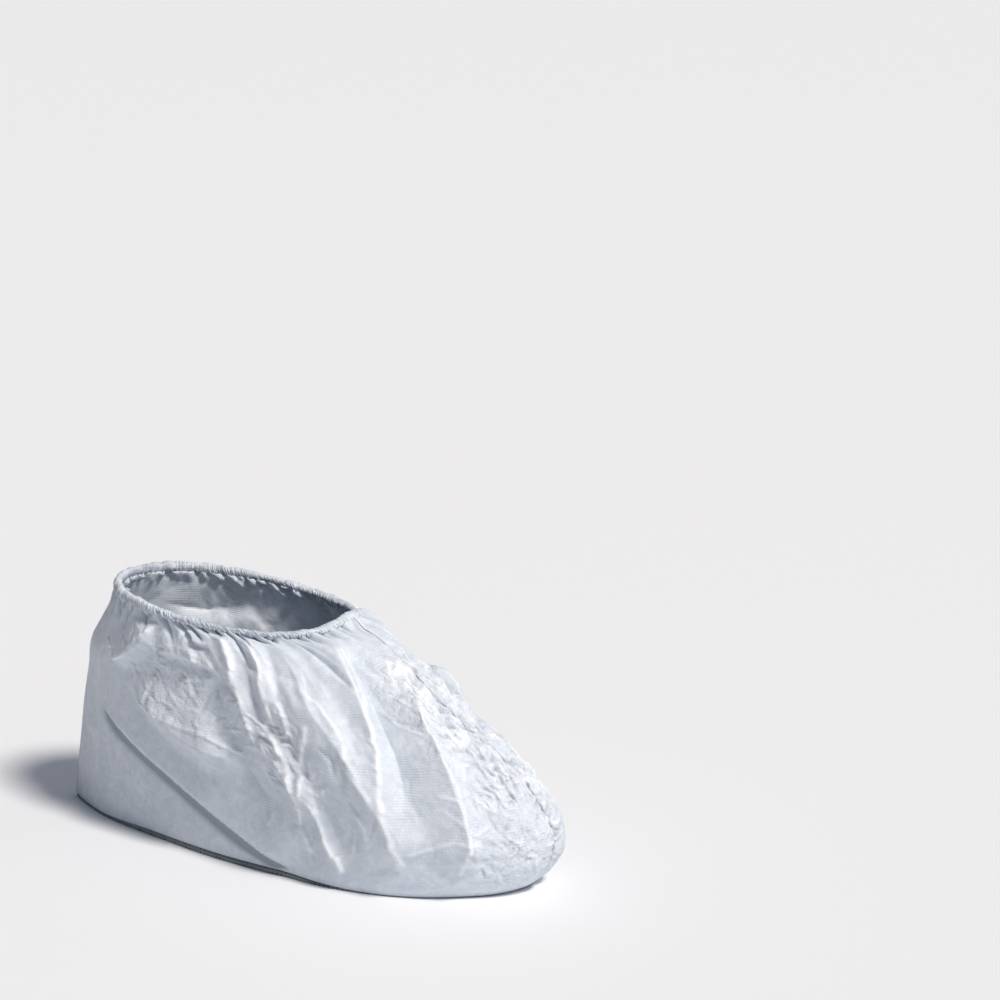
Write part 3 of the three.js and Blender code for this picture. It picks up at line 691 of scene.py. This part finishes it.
def crumpled(tree, place, wear):
    """Height of small facets. A noise folded over at its middle has sharp valleys between them."""
    height = 0.0
    for size_mm, share in FACETS:
        noise = add(tree, "ShaderNodeTexNoise", Vector=place, Scale=grain_scale(size_mm),
                    Detail=1.0, Distortion=.4)
        middle = add(tree, "ShaderNodeMath", {"operation": "SUBTRACT"}, _0=noise, _1=.5)
        folded = add(tree, "ShaderNodeMath", {"operation": "ABSOLUTE"}, _0=middle)
        height = add(tree, "ShaderNodeMath", {"operation": "MULTIPLY_ADD"}, _0=folded, _1=share, _2=height)
    return add(tree, "ShaderNodeMath", {"operation": "MULTIPLY"}, _0=height, _1=wear)


# %% Flash-spun nonwoven
# colours of the lighter crests, and the grey of the painted shade
CREST_WHITE, PAINTED_SHADE_GREY = "#fbfcff", "#8f99a5"
CRUMPLE_DEPTH, FIBRE_DEPTH = 4.5, .05  # mm


def nonwoven(name, base, shade, rib_mm=1.8, rib_depth=.09, mottle=.5):
    """The cloth's finish, from its two colours, its ribs' pitch and depth in mm, and its mottling.

    The fibres of the real sheet are too fine to see, so they are drawn 1.5 mm coarse."""
    material, tree = empty_finish(name)
    cloth = add(tree, "ShaderNodeUVMap", {"uv_map": "cloth"}).outputs["UV"]
    place = add(tree, "ShaderNodeTexCoord").outputs["Object"]
    crest, painted_shade, wear = (
        add(tree, "ShaderNodeAttribute", {"attribute_name": label}).outputs["Fac"]
        for label in ("crest", "painted_shade", "wear"))
    rib, crumple = pressed_ribs(tree, cloth, place, rib_mm), crumpled(tree, place, wear)
    cloudy = add(tree, "ShaderNodeTexNoise", Vector=place, Scale=grain_scale(8.333), Detail=4.0,
                 Distortion=1.5)
    fibres = add(tree, "ShaderNodeTexNoise", Vector=place, Scale=grain_scale(1.5385), Detail=5.0,
                 Roughness=.65, Distortion=2.5)

    mottled = add(tree, "ShaderNodeMapRange", Value=cloudy, From_Min=.35, From_Max=.65,
                  To_Min=0.0, To_Max=mottle)
    ribbed = add(tree, "ShaderNodeMath", {"operation": "MULTIPLY"}, _0=rib, _1=.22)
    # crest lines are drawn lighter in colour
    whitened = add(tree, "ShaderNodeMath", {"operation": "MULTIPLY", "use_clamp": True}, _0=crest, _1=.8)
    colour = srgb(base)
    # the last mix paints shade in grey, along the heel crease, the toe seam's groove and valleys
    for share, tint in ((mottled, shade), (ribbed, shade), (whitened, CREST_WHITE), (painted_shade, PAINTED_SHADE_GREY)):
        colour = add(tree, "ShaderNodeMix", {"data_type": "RGBA"}, _0=share, _6=colour,
                     _7=srgb(tint)).outputs[2]
    rough = add(tree, "ShaderNodeMapRange", Value=fibres, From_Min=.3, From_Max=.7,
                To_Min=.42, To_Max=.6)
    bump = add(tree, "ShaderNodeBump", Strength=1.0, Distance=CRUMPLE_DEPTH / 1000, Height=crumple)
    bump = add(tree, "ShaderNodeBump", Strength=1.0, Distance=rib_depth / 1000, Height=rib, Normal=bump)
    bump = add(tree, "ShaderNodeBump", Strength=1.0, Distance=FIBRE_DEPTH / 1000, Height=fibres,
               Normal=bump)
    shader = add(tree, "ShaderNodeBsdfPrincipled", Base_Color=colour, Roughness=rough, IOR=1.5,
                 Normal=bump, Specular_IOR_Level=.3)
    add(tree, "ShaderNodeOutputMaterial", Surface=shader)
    return material


cloth_finish = nonwoven("flash-spun polyethylene nonwoven", "#dce3ec", "#bfc8d5")
gathered_finish = nonwoven("flash-spun nonwoven, gathered", "#d9e0e9", "#bfc8d4",
                           rib_mm=1.2, rib_depth=.04, mottle=.7)


# %% Grip-coated sole sheet
def grey_dotted_sheet():
    """Grey nonwoven with darker raised dots 3 mm apart, and lighter cloudy patches."""
    material, tree = empty_finish("grey dotted nonwoven")
    place = add(tree, "ShaderNodeTexCoord").outputs["Object"]
    dots = add(tree, "ShaderNodeTexVoronoi", Vector=place, Scale=grain_scale(3.03), Randomness=.15)
    dot = add(tree, "ShaderNodeMapRange", {"interpolation_type": "SMOOTHSTEP"}, Value=dots,
              From_Min=.25, From_Max=.42, To_Min=1.0, To_Max=0.0)
    colour = srgb("#7b8187")
    cloudy = add(tree, "ShaderNodeTexNoise", Vector=place, Scale=grain_scale(16.67), Detail=4.0)
    for share, tint in ((cloudy, "#8d9399"), (dot, "#5d6369")):
        colour = add(tree, "ShaderNodeMix", {"data_type": "RGBA"}, _0=share, _6=colour,
                     _7=srgb(tint)).outputs[2]
    bump = add(tree, "ShaderNodeBump", Strength=1.0, Distance=.0003, Height=dot)
    shader = add(tree, "ShaderNodeBsdfPrincipled", Base_Color=colour, Roughness=.7, Normal=bump)
    add(tree, "ShaderNodeOutputMaterial", Surface=shader)
    return material


# %% Polyester thread
def polyester_thread():
    """Spun sewing thread, whose twist shows as slanting ridges half a millimetre apart."""
    material, tree = empty_finish("spun polyester thread")
    place = add(tree, "ShaderNodeTexCoord").outputs["Object"]
    twist = add(tree, "ShaderNodeTexWave", {"bands_direction": "DIAGONAL"}, Vector=place,
                Scale=band_scale(.5), Distortion=1.0)
    colour = add(tree, "ShaderNodeMix", {"data_type": "RGBA"}, _0=twist, _6=srgb("#e3e6ea"),
                 _7=srgb("#f6f7f9")).outputs[2]
    bump = add(tree, "ShaderNodeBump", Strength=.6, Distance=.00008, Height=twist)
    shader = add(tree, "ShaderNodeBsdfPrincipled", Base_Color=colour, Roughness=.75, Normal=bump,
                 Sheen_Weight=.25)
    add(tree, "ShaderNodeOutputMaterial", Surface=shader)
    return material


sole_finish, thread_finish = grey_dotted_sheet(), polyester_thread()
for piece, finish in ((outer_side, cloth_finish), (inner_side, cloth_finish), (sole, sole_finish)):
    piece.data.materials.append(finish)
    print(piece.name, "is made of", finish.name)

# %% [markdown]
# ## The elastic cuff
# The elastic runs in a narrow casing. Let go, it pulls the casing together into a rope of
# small pleats, about three millimetres each. The rope is a plain oval ring made from the
# cover's top edge, and a Geometry Nodes tree presses the pleats into it: a rule that repeats
# round a path is what such a tree does best. Noise moves the pleats off an even beat, makes them
# crooked, and puffs the casing up here and there.

# %% The cuff's plain ring
BAND_HEIGHT, BAND_THICKNESS, BAND_GAP = 6.4, 4.2, -1.2  # the casing laps over the cloth's edge
BAND_RADIUS = 2.6  # for the pattern round the casing
RING_STEPS, RING_SIDES = 1500, 22
CUFF_WEAR = .3  # how crumpled the casing is


def ring_frame(turns):
    """Centres of the cuff's oval section, with its upward and outward directions."""
    top = plain(turns, 1.0)
    up = top - plain(turns, .97)
    up /= np.linalg.norm(up, axis=-1, keepdims=True)
    edge = np.ones_like(turns)
    out = np.where((turns <= TOE)[:, None], outward(turns, edge, HEEL, TOE), outward(turns, edge, TOE, 1))
    out[np.isclose(turns % TOE, 0)] *= (1, 0, 1)  # on a seam it lies in the centre plane
    out /= np.linalg.norm(out, axis=-1, keepdims=True)
    return top - out * WALL / 2 + up * (BAND_HEIGHT / 2 + BAND_GAP), up, out


def ring_mesh():
    """The casing before it is pleated. Each point knows its turn."""
    turns = np.arange(RING_STEPS) / RING_STEPS
    centre, up, out = ring_frame(turns)
    angle = 2 * np.pi * np.arange(RING_SIDES) / RING_SIDES
    points = (centre[:, None] + up[:, None] * BAND_HEIGHT / 2 * np.cos(angle)[None, :, None]
              + out[:, None] * BAND_THICKNESS / 2 * np.sin(angle)[None, :, None])
    at = np.arange(RING_STEPS * RING_SIDES).reshape(RING_STEPS, RING_SIDES)
    ahead, beside = np.roll(at, -1, 0), np.roll(at, -1, 1)
    faces = np.stack([at, beside, np.roll(beside, -1, 0), ahead], -1).reshape(-1, 4)
    uv = np.stack(np.meshgrid(turns * CUFF_LAP, angle * BAND_RADIUS, indexing="ij"), -1).reshape(-1, 2)
    return make_mesh("cuff", points.reshape(-1, 3), faces.tolist(), uv,
                     turn=np.repeat(turns, RING_SIDES), wear=np.full(at.size, CUFF_WEAR))


# %% The beat of the pleats
tree, given, result = node_group("pleated ring", [
    ("Pleats", "Float", 150.0), ("Depth", "Float", .0019), ("Unevenness", "Float", 3.5),
    ("Crook", "Float", 1.1), ("Puff", "Float", .003), ("Finish", "Material", None)])
turn = add(tree, "GeometryNodeInputNamedAttribute", {"data_type": "FLOAT"}, Name="turn")
turn = turn.outputs["Attribute"]
position = add(tree, "GeometryNodeInputPosition")
drift = add(tree, "ShaderNodeMath", {"operation": "MULTIPLY"}, _0=turn, _1=60.0)
drift = add(tree, "ShaderNodeTexNoise", {"noise_dimensions": "1D"}, W=drift, Detail=2.0)
crook = add(tree, "ShaderNodeTexNoise", Vector=position, Scale=210.0, Detail=2.0)
beat = add(tree, "ShaderNodeMath", {"operation": "MULTIPLY"}, _0=turn, _1=given.outputs["Pleats"])
beat = add(tree, "ShaderNodeMath", {"operation": "MULTIPLY_ADD"}, _0=drift,
           _1=given.outputs["Unevenness"], _2=beat)
beat = add(tree, "ShaderNodeMath", {"operation": "MULTIPLY_ADD"}, _0=crook,
           _1=given.outputs["Crook"], _2=beat)

# %% The height of the pleats
wave = add(tree, "ShaderNodeMath", {"operation": "MULTIPLY"}, _0=beat, _1=math.pi)
wave = add(tree, "ShaderNodeMath", {"operation": "SINE"}, _0=wave)
wave = add(tree, "ShaderNodeMath", {"operation": "ABSOLUTE"}, _0=wave)  # round tops, sharp valleys
bulge = add(tree, "ShaderNodeMath", {"operation": "POWER"}, _0=wave, _1=.8)
bulge = add(tree, "ShaderNodeMath", {"operation": "SUBTRACT"}, _0=bulge, _1=.72)  # its middle height
uneven = add(tree, "ShaderNodeTexNoise", Vector=position, Scale=160.0, Detail=1.0)
depth = add(tree, "ShaderNodeMapRange", Value=uneven, From_Min=.35, From_Max=.65, To_Min=.35, To_Max=1.3)
depth = add(tree, "ShaderNodeMath", {"operation": "MULTIPLY"}, _0=depth, _1=given.outputs["Depth"])
height = add(tree, "ShaderNodeMath", {"operation": "MULTIPLY"}, _0=bulge, _1=depth)
puffy = add(tree, "ShaderNodeTexNoise", Vector=position, Scale=90.0, Detail=2.0)
puffy = add(tree, "ShaderNodeMath", {"operation": "SUBTRACT"}, _0=puffy, _1=.5)
height = add(tree, "ShaderNodeMath", {"operation": "MULTIPLY_ADD"}, _0=puffy,
             _1=given.outputs["Puff"], _2=height)

# %% The pleated cuff
offset = add(tree, "ShaderNodeVectorMath", {"operation": "SCALE"},
             _0=add(tree, "GeometryNodeInputNormal"), Scale=height)
moved = add(tree, "GeometryNodeSetPosition", Geometry=given.outputs["Geometry"], Offset=offset)
dressed = add(tree, "GeometryNodeSetMaterial", Geometry=add(
    tree, "GeometryNodeRealizeInstances", Geometry=moved), Material=given.outputs["Finish"])
tree.links.new(dressed.outputs[0], result.inputs["Geometry"])
cuff = made_by_nodes(ring_mesh(), tree, Pleats=150.0, Depth=.0019, Unevenness=3.5, Crook=1.1,
                     Puff=.003, Finish=gathered_finish)

# %% [markdown]
# ## Seam edges
# Inside the cover each centre seam leaves a narrow double edge, whipped over with thread so
# that it can't fray. The edge is a wavy strip. The thread is a row of small loops that
# straddle the strip's free edge: one loop, repeated along a path by Geometry Nodes.

# %% The strips
ALLOWANCE, STRIP_THICKNESS = 5.0, .9
STRIP_GAP = .35  # from the wall to the strip
STRIP_START, STRIP_END = .06, .94  # rises
STRIP_POINTS, STRIP_ROWS = 260, 7


def seam_path(turn, rises, depth):
    """Points on the centre plane, depth mm in from the cloth's outer face, and the way out of it."""
    turns = np.full_like(rises, turn)
    normals = outward(turns, rises, HEEL, TOE)
    normals[:, 1] = 0
    normals /= np.linalg.norm(normals, axis=-1, keepdims=True)
    points = plain(turns, rises, -1.0)
    height = relief(np.array([turn, turn + 1e-6]), rises)[0][0]
    return points + normals * (height[:, None] - depth), normals


def seam_strip(name, turn):
    """The double edge along one seam, from the wall inwards."""
    rises = np.linspace(STRIP_START, STRIP_END, STRIP_POINTS)
    steps = np.linspace(0, 1, STRIP_ROWS)
    rows = [seam_path(turn, rises, WALL + STRIP_GAP + ALLOWANCE * step)[0] for step in steps]
    grid = np.stack(rows, 1)
    wave = .35 * np.sin(rises * 95) + .25 * np.sin(rises * 41 + 1)  # mm, at the free edge
    grid[..., 1] += wave[:, None] * steps[None, :]
    thick = STRIP_THICKNESS / 2
    flip = 1 if turn == HEEL else -1  # inwards is the other way there, and the faces point outwards
    one, two = grid + (0, flip * thick, 0), grid - (0, flip * thick, 0)
    uv = np.stack(np.meshgrid(rises * CUFF_BACK, steps * ALLOWANCE, indexing="ij"), -1).reshape(-1, 2)
    strip = make_mesh(name, np.concatenate([one.reshape(-1, 3), two.reshape(-1, 3)]),
                      shell_faces(*grid.shape[:2]), np.concatenate([uv, uv]))
    strip.data.materials.append(cloth_finish)
    print(name, len(strip.data.polygons), "faces")
    return strip


front_strip = seam_strip("front_seam_edge", TOE)
heel_strip = seam_strip("heel_seam_edge", HEEL)

# %% One thread loop
tree, given, result = node_group("row of loops", [
    ("Pitch", "Float", .0022), ("Width", "Float", .002), ("Depth", "Float", .003),
    ("Thread", "Float", .0002), ("Lean", "Float", .35), ("Seed", "Int", 3), ("Finish", "Material", None)])
circle = add(tree, "GeometryNodeCurvePrimitiveCircle", {"mode": "RADIUS"}, Resolution=9, Radius=.5)
oval = add(tree, "GeometryNodeTransform", Geometry=circle, Scale=add(
    tree, "ShaderNodeCombineXYZ", X=given.outputs["Depth"], Y=given.outputs["Width"], Z=1.0))
section = add(tree, "GeometryNodeCurvePrimitiveCircle", {"mode": "RADIUS"}, Resolution=4,
              Radius=given.outputs["Thread"])
loop = add(tree, "GeometryNodeCurveToMesh", Curve=oval, Profile_Curve=section)

# %% A row of loops
LOOP_SWAY = .18  # radians, the most that a loop leans away from its neighbours' lean
path = add(tree, "GeometryNodeMeshToCurve", Mesh=given.outputs["Geometry"])
path = add(tree, "GeometryNodeResampleCurve", {"mode": "LENGTH"}, Curve=path, Length=given.outputs["Pitch"])
facing = add(tree, "FunctionNodeAlignRotationToVector", {"axis": "Z"},
             Vector=add(tree, "GeometryNodeInputTangent"))
outwards = add(tree, "GeometryNodeInputNamedAttribute", {"data_type": "FLOAT_VECTOR"}, Name="out")
facing = add(tree, "FunctionNodeAlignRotationToVector", {"axis": "X", "pivot_axis": "Z"},
             Rotation=facing, Vector=outwards.outputs["Attribute"])
jitter = add(tree, "FunctionNodeRandomValue", {"data_type": "FLOAT"}, Seed=given.outputs["Seed"],
             _2=-LOOP_SWAY, _3=LOOP_SWAY)
tilt = add(tree, "ShaderNodeCombineXYZ", X=add(
    tree, "ShaderNodeMath", {"operation": "ADD"}, _0=jitter.outputs[1], _1=given.outputs["Lean"]))
facing = add(tree, "FunctionNodeRotateRotation", {"rotation_space": "LOCAL"}, Rotation=facing,
             Rotate_By=tilt)
loops = add(tree, "GeometryNodeInstanceOnPoints", Points=path, Instance=loop, Rotation=facing)
dressed = add(tree, "GeometryNodeSetMaterial", Geometry=add(
    tree, "GeometryNodeRealizeInstances", Geometry=loops), Material=given.outputs["Finish"])
tree.links.new(dressed.outputs[0], result.inputs["Geometry"])
loop_tree = tree


def loop_row(name, points, out, closed=False, **values):
    """A row of loops along points in mm. Each loop stands across the row and reaches out of the cloth."""
    mesh = bpy.data.meshes.new(name)
    count = len(points)
    edges = [(i, (i + 1) % count) for i in range(count if closed else count - 1)]
    mesh.from_pydata(to_metres(points).tolist(), edges, [])
    mesh.attributes.new("out", "FLOAT_VECTOR", "POINT").data.foreach_set("vector", out.ravel())
    obj = bpy.data.objects.new(name, mesh)
    bpy.context.scene.collection.objects.link(obj)
    return made_by_nodes(obj, loop_tree, Finish=thread_finish, **values)


# %% Thread on the seams
THREAD_START, THREAD_END, THREAD_POINTS = .07, .93, 300  # two rises, and the points between them
THREAD_INSET = 1.4  # mm, from the strip's free edge to the middle of the loops
threads = []
for name, turn in (("front_seam_thread", TOE), ("heel_seam_thread", HEEL)):
    points, out = seam_path(turn, np.linspace(THREAD_START, THREAD_END, THREAD_POINTS),
                            WALL + STRIP_GAP + ALLOWANCE - THREAD_INSET)
    threads.append(loop_row(name, points, out, Pitch=.0021, Width=.0021, Depth=.0034,
                            Thread=.0002, Lean=.3, Seed=3))

# %% Thread on the cuff
STITCH_POINTS = 600
STITCH_SLANT, STITCH_PROUD = .62, 1.12  # the row runs low on the rope's outer face, and clear of it
turns = np.arange(STITCH_POINTS) / STITCH_POINTS
centre, up, out = ring_frame(turns)
low_outside = out * STITCH_SLANT * BAND_THICKNESS / 2 - up * STITCH_SLANT * BAND_HEIGHT / 2
threads.append(loop_row("cuff_thread", centre + low_outside * STITCH_PROUD, out, closed=True,
                        Pitch=.0031, Width=.0018, Depth=.0009, Thread=.00018, Lean=.2, Seed=5))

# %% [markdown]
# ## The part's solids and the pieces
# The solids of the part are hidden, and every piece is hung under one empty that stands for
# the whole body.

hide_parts("outer_side")
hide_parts("inner_side")
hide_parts("sole")
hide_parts("elastic_cuff")
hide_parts("front_seam")
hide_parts("heel_seam")
for piece, slot in ((outer_side, "nonwoven"), (inner_side, "nonwoven"), (sole, "sole_sheet"),
                    (cuff, "gathered_nonwoven"), (front_strip, "seam_edge"), (heel_strip, "seam_edge"),
                    *((thread, "seam_edge") for thread in threads)):
    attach(piece, "root")

# %% [markdown]
# ## Stage, light and camera
# The cover stands on a large pale floor. A broad sun shines from high up on the toe's side, and
# the sky is bright and nearly white there. Towards the heel it grows dim and bluer, so the folds
# that face that way stay grey. A long lens stands far off, as for a catalogue picture.

# %% Floor
FLOOR_HALF = 30  # metres
paper = bpy.data.materials.new("matt white paper")
paper.use_nodes = True
paper.node_tree.nodes["Principled BSDF"].inputs["Base Color"].default_value = srgb("#eff1f4")
paper.node_tree.nodes["Principled BSDF"].inputs["Roughness"].default_value = .9
floor_mesh = bpy.data.meshes.new("floor")
floor_mesh.from_pydata([(x * FLOOR_HALF, y * FLOOR_HALF, 0)
                        for x, y in ((-1, -1), (1, -1), (1, 1), (-1, 1))], [], [(0, 1, 2, 3)])
floor_mesh.materials.append(paper)
floor = bpy.data.objects.new("floor", floor_mesh)
bpy.context.scene.collection.objects.link(floor)

# %% Sky
BRIGHT_WAY = (.85, .15, .4)  # towards the toe and up
sky = bpy.data.worlds.new("pale sky")
bpy.context.scene.world = sky
sky.use_nodes = True
tree = sky.node_tree
tree.nodes.clear()
direction = add(tree, "ShaderNodeTexCoord").outputs["Generated"]
towards_toe = add(tree, "ShaderNodeVectorMath", {"operation": "DOT_PRODUCT"}, _0=direction, _1=BRIGHT_WAY)
share = add(tree, "ShaderNodeMapRange", Value=towards_toe.outputs["Value"], From_Min=-.6, From_Max=.7)
colour = add(tree, "ShaderNodeMix", {"data_type": "RGBA"}, _0=share, _6=srgb("#86a2d4"),
             _7=srgb("#f6f8ff")).outputs[2]
strength = add(tree, "ShaderNodeMapRange", Value=share, To_Min=.04, To_Max=.46)
background = add(tree, "ShaderNodeBackground", Color=colour, Strength=strength)
add(tree, "ShaderNodeOutputWorld", Surface=background)

# %% Sun
SUN_AZIMUTH, SUN_ELEVATION = math.radians(70), math.radians(54)  # azimuth 0 is -Y, 90 degrees the toe
sun = bpy.data.objects.new("sun", bpy.data.lights.new("sun", "SUN"))
sun.data.energy, sun.data.angle, sun.data.color = 2.95, math.radians(12), srgb("#fff8f0")[:3]
sun.location = (math.sin(SUN_AZIMUTH) * math.cos(SUN_ELEVATION),
                -math.cos(SUN_AZIMUTH) * math.cos(SUN_ELEVATION), math.sin(SUN_ELEVATION))
sun.rotation_mode = "QUATERNION"
sun.rotation_quaternion = sun.location.to_track_quat("Z", "Y")
bpy.context.scene.collection.objects.link(sun)
print("sun at", [round(value, 2) for value in sun.location])

# %% Camera
CAMERA_PLACE = (1286.8, -2043.5, 835.7)  # mm, from the back of the sole
CAMERA_AZIMUTH, CAMERA_TILT, CAMERA_ROLL = 26.07, 14.875, 1.78  # degrees
turned, tilted, rolled = (
    Matrix.Rotation(math.radians(angle), 3, axis)
    for angle, axis in ((CAMERA_AZIMUTH, "Z"), (90 - CAMERA_TILT, "X"), (CAMERA_ROLL, "Z")))
camera = bpy.data.objects.new("camera", bpy.data.cameras.new("camera"))
camera.data.sensor_width, camera.data.lens = 36, 146.7
camera.data.clip_start, camera.data.clip_end = .1, 100
camera.location = to_metres(np.array(CAMERA_PLACE))
camera.rotation_mode = "XYZ"
camera.rotation_euler = (turned @ tilted @ rolled).to_euler()
bpy.context.scene.collection.objects.link(camera)
bpy.context.scene.camera = camera
bpy.context.scene.view_settings.view_transform = "Standard"
